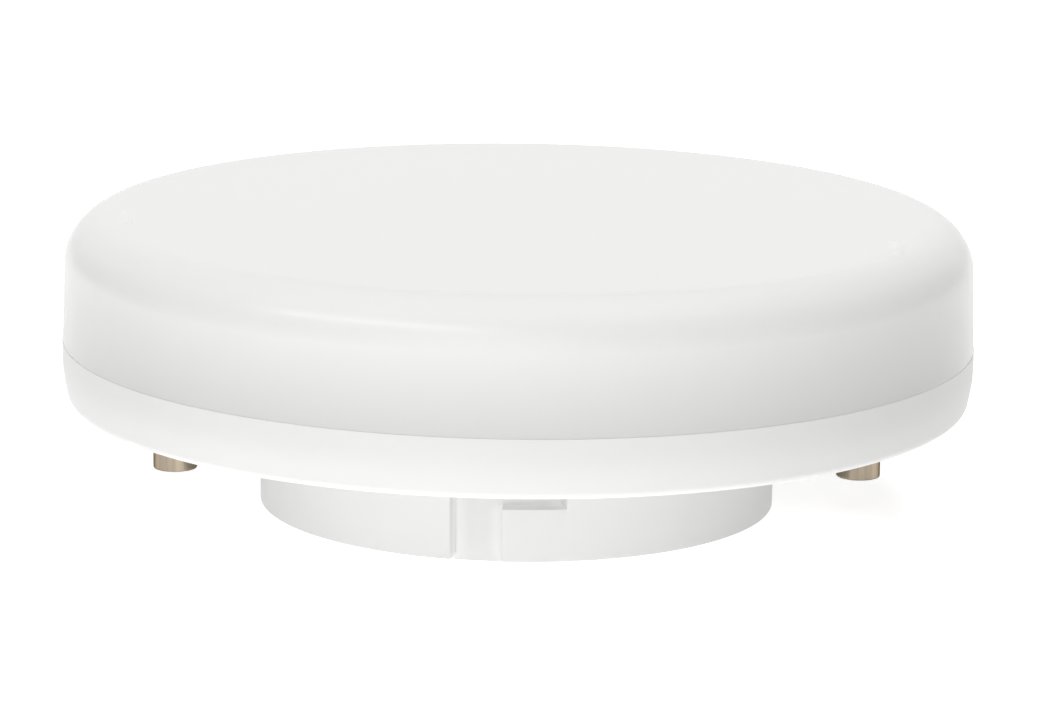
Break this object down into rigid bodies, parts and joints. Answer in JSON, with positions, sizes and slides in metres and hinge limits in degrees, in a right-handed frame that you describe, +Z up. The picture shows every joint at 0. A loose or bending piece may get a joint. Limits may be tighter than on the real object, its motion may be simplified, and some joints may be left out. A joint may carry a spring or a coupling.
{
  "type": "led disc lamp",
  "caption": "Flat round LED lamp with an opal cover, a white base ring, a round boss with L-shaped key grooves and headed contact pins that lock into a holder by a short turn.",
  "frame": {"origin": "centre of the boss's bottom face, on which the lamp stands", "axes": "+Z up through the light face; +X through the contact pins; -Y is the front, with a key groove"},
  "size_m": [0.07, 0.07, 0.023],
  "materials": {
    "opal_cover": "satin opal",
    "white_base": "semi-gloss moulded",
    "nickel_pin": "satin nickel plate over brass",
    "clear_film": "milky film",
    "aluminium_plate": "mill finish",
    "white_board": "white solder mask on aluminium",
    "led_frame": "white frame with a yellow window",
    "steel_screw": "zinc plated",
    "green_board": "green solder mask on glass laminate",
    "capacitor_can": "dark sleeve",
    "ferrite": "matt sintered",
    "copper_wire": "enamelled copper",
    "resistor_body": "lacquered",
    "film_capacitor_body": "dipped resin",
    "black_chip": "moulded black",
    "white_lead": "soft insulation",
    "red_lead": "soft insulation",
    "black_lead": "soft insulation"
  },
  "bodies": {
    "root": {"diffuser_cover": "opal_cover", "base_housing": "white_base", "contact_pin_left": "nickel_pin", "contact_pin_right": "nickel_pin", "insulating_film": "clear_film", "heat_spreader": "aluminium_plate", "led_board": "white_board", "led_packages": "led_frame", "board_screws": "steel_screw", "driver_board": "green_board", "smoothing_capacitor": "capacitor_can", "output_capacitor": "capacitor_can", "choke_core": "ferrite", "choke_winding": "copper_wire", "fuse_resistor": "resistor_body", "film_capacitor": "film_capacitor_body", "bridge_rectifier": "black_chip", "driver_chip": "black_chip", "freewheel_diode": "black_chip", "chip_resistors": "black_chip", "mains_lead_left": "white_lead", "mains_lead_right": "white_lead", "led_lead_left": "black_lead", "led_lead_right": "red_lead"}
  },
  "joints": []
}
